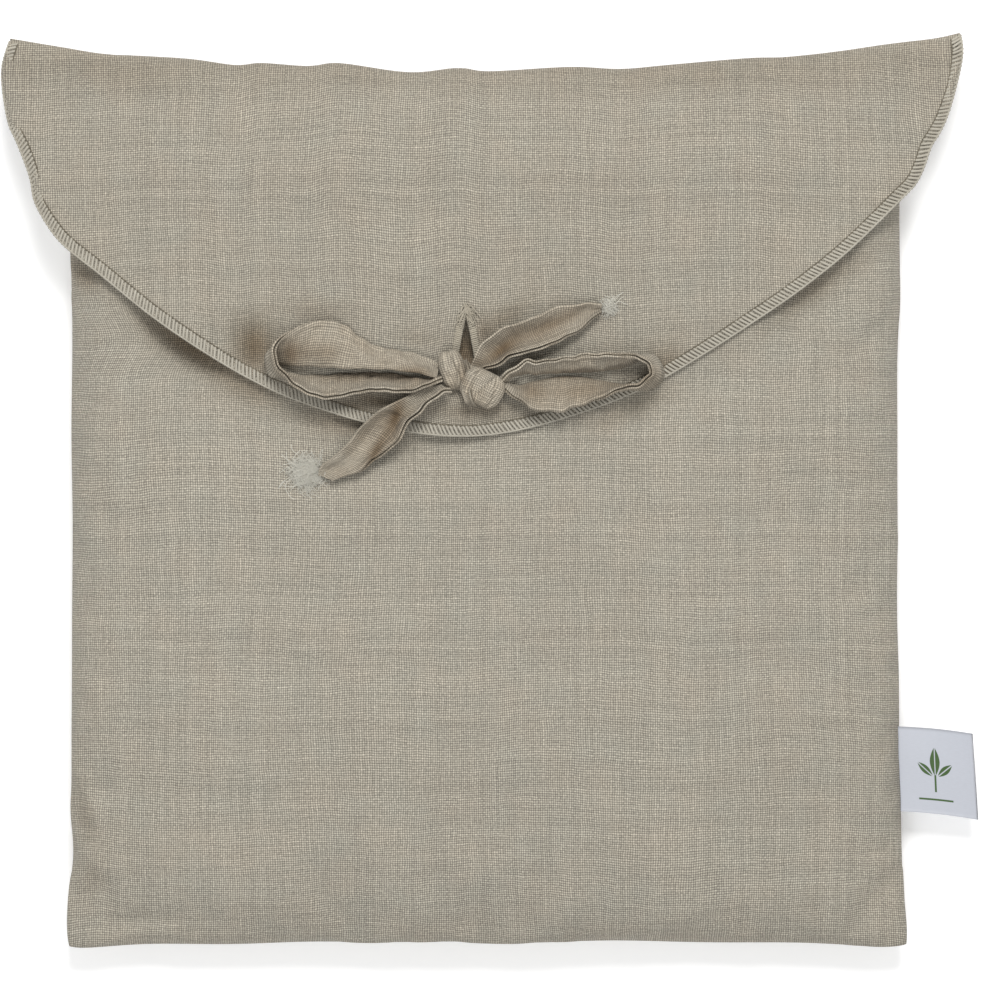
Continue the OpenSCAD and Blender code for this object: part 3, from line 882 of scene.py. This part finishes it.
loop_left = ribbon("bow_loop_left_tape", [
    (-20.5, 56.5, 4, -21, 51, 8, 0), (-31, 61, 2, -27, 53, 9, 0.8), (-38.5, 62.4, 1.5, -37, 54.4, 9, 1.2),
    (-46.5, 63.7, 1.2, -46.5, 54.8, 9, 1.5), (-53.6, 68.3, 1.2, -54.5, 55.2, 8.5, 1.8),
    (-59.5, 73, 2, -63, 55.6, 8, 2), (-68.4, 74.6, 4, -71.3, 56, 6.5, 2), (-77, 73.5, 7, -79, 56.3, 4, 1.5),
    (-84, 70, 10, -86, 57, 1.5, 0.5), (-88.3, 66, 12, -91.5, 59, 0.8, -0.5),
    (-89.3, 61.5, 12.5, -93, 56.5, 0.8, -1), (-88, 57, 12.5, -90.5, 53, 0.8, -1),
    (-84, 52, 12.5, -85, 53.5, 0.8, -0.8), (-78.2, 46.6, 12.5, -78.2, 52.6, 0.8, -0.8),
    (-68.4, 43.6, 12, -68.4, 52.6, 0.8, -1), (-56.6, 45.3, 12, -56.6, 53.5, 0.8, -1),
    (-44.8, 47, 11.5, -44.8, 53.3, 0.8, -0.8), (-33, 46, 11, -33, 52, 1.2, -0.5),
    (-27, 47.7, 10.5, -27, 51, 2, 0), (-19, 51, 8, -19.5, 52, 3.5, 0),
], seed=83)
loop_right = ribbon("bow_loop_right_tape", [
    (6, 47.5, 7, 7.5, 49.5, 3.5, 0), (12.8, 42.7, 9, 13.7, 48.2, 1.2, 0.8),
    (18.3, 38.5, 9.5, 19.2, 50.2, 0.8, 1.2), (26.3, 37.7, 9, 27.2, 51.5, 0.8, 1.5),
    (33, 38, 9, 34.8, 52, 0.8, 1.5), (44.8, 41.8, 9.5, 45.7, 50.4, 0.8, 1.2),
    (55.8, 46.4, 11, 56, 48, 0.8, 0.4), (63.3, 48.5, 12, 66, 46, 0.8, -0.4),
    (68, 52.3, 12.5, 73, 49.5, 0.8, -0.6), (68.4, 55.7, 12.5, 74, 55.5, 0.8, -0.6),
    (65, 59.5, 12.5, 69, 60, 0.8, -0.3), (57.8, 61, 12, 59, 57, 0.8, 0.6), (49.4, 61, 12, 50, 54.5, 0.8, 0.8),
    (36.8, 60, 11.5, 37.6, 54, 0.8, 0.8), (28.4, 58.6, 11, 28.8, 54, 0.8, 0.6),
    (21.2, 57.6, 10.5, 22, 53.6, 0.8, 0.5), (16.2, 58.4, 10, 17.5, 53.6, 1.2, 0.4),
    (10.3, 54.4, 9.5, 12, 52, 2.2, 0), (5.2, 50.5, 8.5, 6.5, 50, 4, 0),
], seed=87)
tail_upper = ribbon("tie_tail_upper_tape", [
    (-3.2, 54, 8.5, -7.4, 56.5, 9, -2), (1, 56, 9.5, -4.4, 62.4, 11, -5), (6.5, 59, 10, -0.2, 67.5, 11.5, -7),
    (12, 61.4, 9.5, 5.3, 71.3, 11, -7.5), (21.2, 64, 8.5, 15.4, 75.3, 10, -6.8),
    (30, 67.5, 7.5, 27, 80.5, 8.5, -5), (36.8, 70.4, 6.5, 36.8, 82.2, 7, -3.4),
    (42.3, 75, 5.5, 43, 82.6, 6, -2.4), (48, 78.8, 4.5, 48.2, 82.2, 5, -1),
], seed=91)
tail_lower = ribbon("tie_tail_lower_tape", [
    (-15, 46.2, 8.5, -20, 48.5, 5, 0.5), (-19.2, 45.3, 9.5, -26.3, 47.3, 4.5, 2),
    (-24.2, 41.8, 11, -31.8, 45.2, 7, 4.2), (-30, 36.4, 12.5, -39.8, 40.5, 10.5, 6.4),
    (-35.2, 30.4, 12.5, -47.3, 36.3, 12.5, 7), (-38.5, 24.6, 11, -53.6, 29.6, 11.5, 6.6),
    (-45.3, 19, 8.5, -58.7, 23.7, 9, 5.4), (-51, 14.5, 6.4, -64.6, 18.3, 7, 3.8),
    (-58, 10.7, 4.4, -69.6, 14.8, 4.8, 2.2), (-64.6, 8.2, 2.8, -71.3, 11, 2.8, 0.6),
], seed=95)


def wrap(name, at, turn, size, lift, seed, pleats=(), sides=0.7):
    """One turn of tape over the knot: it arches from one side to the other, with rolled edges."""
    n, k = 40, 49
    theta = np.linspace(-1.75, 1.75, n)
    c = np.linspace(-1, 1, k)
    a = math.radians(turn)
    d = np.array([math.cos(a), math.sin(a), 0])
    w = np.array([-math.sin(a), math.cos(a), 0])
    th, cc = np.meshgrid(theta, c, indexing="ij")
    pinch = 1 - 0.28 * np.abs(np.sin(th)) ** 3
    rolled = 1 - np.abs(cc) ** 6 * sides
    bump = 0.4 * waves(th * size[0], cc * size[1], 7, seed)
    bump = bump + 0.2 * waves(th * size[0], cc * size[1], 3.5, seed + 1)
    for place, depth, wide, slant in pleats:
        bump = bump - depth * np.exp(-(((cc - place - slant * np.sin(th)) / wide) ** 2))
    rise = size[2] * (np.clip(np.cos(th), 0, 1) ** 0.6 * rolled + np.minimum(np.cos(th), 0)) + bump
    p = (
        np.array([at[0], at[1], top(*at) + lift])
        + d * (size[0] * np.sin(th) * (0.86 + 0.14 * rolled))[..., None]
        + w * (size[1] * cc * pinch)[..., None]
        + np.array([0, 0, 1]) * rise[..., None]
    )
    uv = np.stack([cc * size[1] * 1.2, th * size[0]], axis=2)
    return thick(finer(mesh(name, p, grid_faces(n, k), uv, TAPE_PAINTED_SHADE)), 1.0)


knot_left = wrap(
    "knot_upper_turn", (-14.6, 54.8), 106, (7.2, 4.6, 5.4), 6.4, 101,
    ((-0.35, 2.2, 0.13, 0.25), (0.45, 0.7, 0.1, -0.1)),
)
knot_right = wrap(
    "knot_front_turn", (-2.0, 47.2), 64, (6.4, 8.4, 3.4), 6.6, 105,
    ((0.55, 1.7, 0.1, 0.12), (-0.05, 1.0, 0.1, -0.3), (-0.6, 1.2, 0.09, 0.15)),
)
knot_roll = ribbon("knot_edge_roll", [
    (-8.6, 59, 7, -11.6, 58, 7, 0.3), (-7.4, 55.5, 11.5, -11.0, 54.6, 11.5, 1.2),
    (-6.8, 51, 13.0, -10.6, 50, 12.8, 1.4), (-7.0, 46.5, 12.4, -10.4, 45.2, 12, 1.4),
    (-6.0, 42.2, 9.5, -9, 41, 9.5, 0.8), (-4.6, 40.4, 5, -7.6, 39.4, 5, 0.2),
], crumple=0.3, seed=99, sway=0.15)


def knot_core():
    n, k = 18, 24
    lat = np.linspace(-math.pi / 2, math.pi / 2, n)
    lon = np.linspace(0, 2 * math.pi, k, endpoint=False)
    la, lo = np.meshgrid(lat, lon, indexing="ij")
    r = 1 + 0.08 * waves(lo * 6, la * 6, 5, 111)
    x = KNOT[0] - 1.0 + 9.5 * r * np.cos(la) * np.cos(lo)
    y = KNOT[1] + 0.5 + 5.6 * r * np.cos(la) * np.sin(lo)
    z = top(*KNOT) + 5.6 + 5.0 * r * np.sin(la)
    p = np.stack([x, y, z], axis=2)
    uv = np.stack([lo * 9, la * 9], axis=2)
    return mesh("knot_core", p, grid_faces(n, k, close=True), uv)


core = knot_core()


def tuft(name, at, direction, spread, length, count, seed, radius=0.06):
    """A frayed end: a soft cloud of curled fibres with a few longer ones."""
    rng = np.random.default_rng(seed)
    d = math.atan2(direction[1], direction[0])
    lines, thickness = [], []
    for number in range(count):
        long_one = number % 60 == 0
        start = np.array([at[0], at[1]]) + rng.normal(0, 1, 2) * spread * (0.3 if long_one else 0.42)
        angle = d + rng.normal(0, 0.7) if long_one else rng.uniform(0, 2 * math.pi)
        size = length * (rng.uniform(0.8, 1.3) if long_one else rng.uniform(0.25, 0.5))
        bend = rng.normal(0, 0.9)
        z = top(*start) + rng.uniform(0.5, 3.6)
        p = start.copy()
        path = []
        for _ in range(7):
            path.append([p[0], p[1], z])
            angle += bend * 0.5 + rng.normal(0, 0.3)
            p = p + np.array([math.cos(angle), math.sin(angle)]) * size / 6
            z = max(top(*p) + 0.3, z - rng.uniform(-0.1, 0.6))
        lines.append(curve(path, 2))
        thickness.append(radius * (1.7 if long_one else 1.0))
    return tubes(name, lines, thickness, sides=4)


tuft_upper = tuft("frayed_end_upper_threads", (51, 81), (1.0, 0.1), 3.0, 7.0, 520, 121)
tuft_lower = tuft("frayed_end_lower_threads", (-76, 11.5), (-1.0, -0.1), 6.4, 11.0, 1150, 122)


def apex_threads():
    """Loose threads over the slit's upper end, hanging down both sides."""
    rng = np.random.default_rng(123)
    lines = []
    for k in range(34):
        side = -1 if k % 2 else 1
        x, y = SLIT_X + rng.normal(0, 0.7), SLIT_TOP + rng.uniform(1.5, 4.5)
        run, drop = side * rng.uniform(1.0, 4.6), rng.uniform(3, 9)
        path = []
        for t in np.linspace(0, 1, 6):
            px = x + run * t + rng.normal(0, 0.35)
            py = y - drop * t**1.4 + rng.normal(0, 0.35)
            path.append([px, py, top(px, py) + 1.0 + rng.uniform(0, 0.7)])
        lines.append(curve(path, 3))
    return tubes("slit_loose_threads", lines, 0.17, sides=5)


slit_tuft = apex_threads()


# ---- what holds the ties


def front_top(x, y):
    """Height of the front panel."""
    return height(front_tree, x, y, SEAM_Z)


roots = ribbon("tie_roots_tape", [
    (SLIT_X + 7.4, 31, 1.0, SLIT_X - 7.4, 31, 1.0, 0), (SLIT_X + 7.4, 35, 1.0, SLIT_X - 7.4, 35, 1.0, 0),
    (SLIT_X + 7.4, 39, 1.0, SLIT_X - 7.4, 39, 1.0, 0), (SLIT_X + 6.8, 43, 1.0, SLIT_X - 6.8, 43, 1.0, 0),
    (SLIT_X + 4.5, 46, 1.2, SLIT_X - 4.5, 46, 1.2, 0.2), (SLIT_X + 2.6, 50, 1.4, SLIT_X - 2.6, 50, 1.4, 0.3),
], base=front_top, crumple=0.1, seed=131, sway=0.0)


def box_stitches():
    """A square of stitches with its two diagonals."""
    corners = [np.array(c, float) for c in ((-5.2, 32), (5.2, 32), (5.2, 42), (-5.2, 42))]
    stitch = ((0.08, -0.2), (0.25, 0.22), (0.5, 0.34), (0.75, 0.22), (0.92, -0.2))
    lines = []
    for i, j in ((0, 1), (1, 2), (2, 3), (3, 0), (0, 2), (1, 3)):
        start, end = corners[i], corners[j]
        count = int(np.linalg.norm(end - start) / 2.2)

        def place(share, rise):
            x, y = start + (end - start) * share + np.array([SLIT_X, 0])
            return [x, y, front_top(x, y) + 1.7 + rise]

        lines += running_stitches(count, 1 / count, stitch, place)
    return tubes("anchor_stitches", lines, 0.3, sides=5)


anchor = box_stitches()


# ---- inside the cover


def hem():
    """The front panel's edge, folded in at the mouth."""
    j = slice(3, cols - 3)
    i = slice(rows - 14, rows - 1)
    n = np.zeros((rows, cols, 3))
    n[1:-1, 1:-1] = unit(
        np.cross(open_front[1:-1, 2:] - open_front[1:-1, :-2], open_front[2:, 1:-1] - open_front[:-2, 1:-1])
    )
    n[-1], n[:, 0], n[:, -1] = n[-2], n[:, 1], n[:, -2]
    p = open_front[i, j] - 0.95 * n[i, j]
    uv = flat_places["front"][i, j]
    r, c = p.shape[:2]
    obj = thick(mesh("mouth_hem_linen", p, grid_faces(r, c), uv), 0.6)
    line = open_front[rows - 12, 4 : cols - 4]
    up = n[rows - 12, 4 : cols - 4]
    s = along(line)
    stitch = ((0.08, -0.25), (0.22, 0.15), (0.5, 0.28), (0.78, 0.15), (0.92, -0.25))

    def place(where, rise):
        return at_length(line, s, where) + unit(at_length(up, s, where)) * rise

    lines = running_stitches(int(s[-1] / 2.9), 2.9, stitch, place)
    return obj, tubes("mouth_hem_stitches", lines, 0.24, sides=5)


mouth_hem, hem_stitches = hem()


def allowance(name, line, inward):
    """An overlocked seam allowance inside the cover, along part of its rim."""
    line = line.copy()
    line[:, 2] = SEAM_Z
    half = [(1.6, 0.5), (3.5, 0.55), (6.0, 0.55), (8.0, 0.5)]
    ring = half + [(8.6, 0.0)] + [(across, -up) for across, up in half[::-1]]
    p = np.stack([line + inward * across + np.array([0, 0, up]) for across, up in ring], axis=1)
    k = p.shape[1]
    s = along(line)
    uv = np.stack(np.meshgrid(np.arange(k), s), axis=2)
    return mesh(name, p, sleeve(len(line), k), uv)


seam_left = allowance("left_seam_allowance", back_grid[5 : rows - 5, 0], np.array([1.0, 0, 0]))
seam_right = allowance("right_seam_allowance", back_grid[5 : rows - 5, -1], np.array([-1.0, 0, 0]))
seam_bottom = allowance("bottom_seam_allowance", back_grid[0, 7 : cols - 7], np.array([0, 1.0, 0]))


def shrunk(grid, inset, drop):
    p = grid.copy()
    p[..., 0] *= (HALF_WIDTH - inset) / HALF_WIDTH
    p[..., 1] *= (HALF_LENGTH - inset) / HALF_LENGTH
    c = np.clip(np.abs(grid[..., 2:] - SEAM_Z) / 12, 0, 1)[..., 0]
    p[..., 2] -= np.sign(grid[..., 2] - SEAM_Z) * drop * c
    return p


def half_case(name, grid, inset, drop, flip):
    p = shrunk(grid, inset, drop)[::2, ::2]
    r, c = p.shape[:2]
    uv = flat_places["front"][::2, ::2]
    return thick(mesh(name, p, grid_faces(r, c, flip=flip), uv), 0.5)


case_top = half_case("insert_case_top_calico", front_grid, 11, 3.2, False)
case_bottom = half_case("insert_case_bottom_calico", back_grid, 11, 1.6, True)


def core_pad():
    a = shrunk(front_grid, 13, 4.6)[::2, ::2]
    b = shrunk(back_grid, 13, 2.8)[::2, ::2]
    a[..., 2] = np.maximum(a[..., 2], SEAM_Z + 0.6)
    b[..., 2] = np.minimum(b[..., 2], SEAM_Z - 0.6)
    r, c = a.shape[:2]
    base = r * c
    faces = grid_faces(r, c) + [tuple(base + i for i in f) for f in grid_faces(r, c, flip=True)]
    ring = list(range(c)) + [i * c + c - 1 for i in range(1, r)]
    ring += [(r - 1) * c + j for j in range(c - 2, -1, -1)] + [i * c for i in range(r - 2, 0, -1)]
    faces += [(k, base + k, base + m, m) for k, m in zip(ring, ring[1:] + ring[:1])]
    return mesh("insert_core_wadding", [a, b], faces)


wad = core_pad()


# ---- the label


def label_material():
    """Satin with a sprig of three leaves over a bar, woven in."""
    g = Graph("label satin")
    x, y = g.cloth()
    rib = g.math("SINE", y * (2 * math.pi / 0.42))
    fine = g.math("SINE", x * (2 * math.pi / 0.3))
    grain = g.noise(g.vector(x * 0.4, y * 3.0), 1.0)
    ground = g.scaled(srgb(178, 181, 189), rib * 0.03 + fine * 0.02 + grain * 0.12 + 0.94)

    def leaf(cx, cy, turn, half_length, half_width):
        a = math.radians(turn)
        p = (x - cx) * math.cos(a) + (y - cy) * math.sin(a)
        q = abs((y - cy) * math.cos(a) - (x - cx) * math.sin(a))
        outline = (1.0 - g.math("POWER", abs(p * (1 / half_length)), 1.8)) * half_width
        return g.ramp(outline - q, 6.0) * g.ramp(q - 0.22, 6.0)

    def bar(cx, cy, half_width, half_height):
        return g.ramp(half_width - abs(x - cx), 6.0) * g.ramp(half_height - abs(y - cy), 6.0)

    mark = leaf(16.0, 4.0, 90, 6.2, 2.2)
    for shape in (
        leaf(11.6, 0.6, 140, 4.4, 1.6), leaf(20.4, 0.6, 40, 4.4, 1.6),
        bar(16.0, -5.2, 0.42, 3.6), bar(16.0, -12.0, 7.5, 0.4),
    ):
        mark = g.math("MAXIMUM", mark, shape)
    thread = g.math("SINE", (x + y) * (2 * math.pi / 0.5)) * 0.15 + 0.85
    colour = g.blend(mark, ground, g.scaled(srgb(64, 92, 46), thread))
    return g.finish(colour, rib * 0.4 + mark * 1.2, 0.35, 0.0001, 0.42, 0.3)


def make_label():
    n, k = 30, 26
    a, b = np.meshgrid(np.linspace(0, 1, n), np.linspace(-1, 1, k), indexing="ij")
    y_mid = -113.3 - 3.5 * a
    half = 17.9 + 0.3 * a
    x0, x1 = 173.6 - 0.5 * b, 206.0 - 1.2 * b
    x = x0 + (x1 - x0) * a
    y = y_mid + half * b + 0.6 * np.sin(a * 3.0)
    z = SEAM_Z + 0.3 - 1.8 * a**2 + 1.0 * np.sin(a * 3.4) * (0.5 + 0.5 * b) + 0.5 * np.sin(b * 2.2 + a * 2)
    upper = np.stack([x, y, z + 0.42 * (1 - a**14)], axis=2)
    lower = np.stack([x, y, z - 0.42 * (1 - a**14)], axis=2)
    uv = np.stack([a * 34.0, half * b], axis=2)
    base = n * k
    faces = grid_faces(n, k) + [tuple(base + i for i in f) for f in grid_faces(n, k, flip=True)]
    for i in range(n - 1):
        faces.append(((i + 1) * k, i * k, base + i * k, base + (i + 1) * k))
        faces.append((i * k + k - 1, (i + 1) * k + k - 1, base + (i + 1) * k + k - 1, base + i * k + k - 1))
    for j in range(k - 1):
        m = (n - 1) * k
        faces.append((m + j + 1, m + j, base + m + j, base + m + j + 1))
        faces.append((j, j + 1, base + j + 1, base + j))
    return mesh("side_label", [upper, lower], faces, [uv, uv])


side_label = make_label()


# ---- bodies, materials and hidden parts


# The pieces by body, each with its material, its slot and the node it replaces. A tape has its materials
# already, and the flap has no body of its own, because it bends between two.
PIECES = {
    "cushion": [
        (front_panel, linen, "linen", "front_panel"),
        (back_panel, linen, "linen", "back_panel"),
        (mouth_hem, linen, "linen", "mouth_hem"),
        (hem_stitches, inner_thread, "linen_thread"),
        (seam_left, inner_thread, "linen_thread", "left_seam"),
        (seam_right, inner_thread, "linen_thread", "right_seam"),
        (seam_bottom, inner_thread, "linen_thread", "bottom_seam"),
        (case_top, calico, "calico", "insert_case_top"),
        (case_bottom, calico, "calico", "insert_case_bottom"),
        (wad, wadding, "wadding", "insert_core"),
        (roots, None, "linen", "tie_roots"),
        (anchor, inner_thread, "linen_thread", "anchor_stitching"),
    ],
    None: [
        (flap_sheet, linen, "linen", "flap_panel"),
    ],
    "flap": [
        (overlock, overlock_thread, "linen_thread", "flap_overlock"),
        (needles, needle_thread, "linen_thread"),
        (slit_stitches, slit_thread, "linen_thread", "slit_stitching"),
        (slit_tuft, slit_thread, "linen_frayed"),
        (chain, overlock_thread, "linen_thread"),
    ],
    "bow": [
        (core, tape_linen, "linen", "bow_knot"),
        (knot_left, tape_linen, "linen", "bow_knot"),
        (knot_right, tape_linen, "linen", "bow_knot"),
        (knot_roll, None, "linen", "bow_knot"),
        (loop_left, None, "linen", "bow_loop_left"),
        (loop_right, None, "linen", "bow_loop_right"),
        (tail_upper, None, "linen", "tie_tail_upper"),
        (tail_lower, None, "linen", "tie_tail_lower"),
        (tuft_upper, frayed, "linen_frayed", "frayed_end_upper"),
        (tuft_lower, frayed, "linen_frayed", "frayed_end_lower"),
    ],
    "label": [
        (side_label, label_material(), "satin", "label"),
    ],
}
for body, pieces in PIECES.items():
    for obj, material, slot, *nodes in pieces:
        if material:
            obj.data.materials.clear()
            obj.data.materials.append(material)
        if body:
            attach(obj, body)
        if nodes:
            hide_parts(*nodes)

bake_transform(flap_sheet)


# ---- floor, light, camera


def studio():
    size = 3.0
    data = bpy.data.meshes.new("floor")
    corners = [(-size, -size, 0), (size, -size, 0), (size, size, 0), (-size, size, 0)]
    data.from_pydata(corners, [], [(0, 1, 2, 3)])
    floor = bpy.data.objects.new("floor", data)
    floor.location.z = -0.0003
    scene.collection.objects.link(floor)
    g = Graph("pale floor")
    tone = g.blend(g.noise(g.place(), 3.0), (0.93, 0.93, 0.93, 1), (0.95, 0.95, 0.95, 1))
    floor.data.materials.append(g.finish(tone, rough=1.0))
    g.shader.inputs["Emission Color"].default_value = (1, 1, 1, 1)
    g.shader.inputs["Emission Strength"].default_value = 0.22

    world = bpy.data.worlds.new("studio")
    scene.world = world
    world.use_nodes = True
    back = next(n for n in world.node_tree.nodes if n.type == "BACKGROUND")
    back.inputs[0].default_value = (1.0, 1.0, 1.0, 1.0)
    back.inputs[1].default_value = 0.45

    for name, place, size, power, colour in (
        ("key", (0.15, 1.5, 2.3), 1.0, 56.0, (1.0, 0.995, 0.985)),
        ("fill", (-0.3, -1.0, 2.4), 1.4, 24.0, (0.98, 0.99, 1.0)),
    ):
        light = bpy.data.lights.new(name, "AREA")
        light.size = size
        light.energy = power
        light.color = colour
        obj = bpy.data.objects.new(name, light)
        obj.location = place
        obj.rotation_euler = (Vector((0, 0, 0)) - Vector(place)).to_track_quat("-Z", "Y").to_euler()
        scene.collection.objects.link(obj)

    # straight down, from far enough for the picture to be this wide at the flap's height
    picture_width = 0.4131
    camera = bpy.data.cameras.new("camera")
    camera.lens = 500
    camera.sensor_width = 36
    obj = bpy.data.objects.new("camera", camera)
    obj.location = (0.0015, 0.0039, 0.034 + picture_width * camera.lens / camera.sensor_width)
    scene.collection.objects.link(obj)
    scene.camera = obj
    scene.view_settings.view_transform = "Standard"
    scene.view_settings.look = "None"


studio()
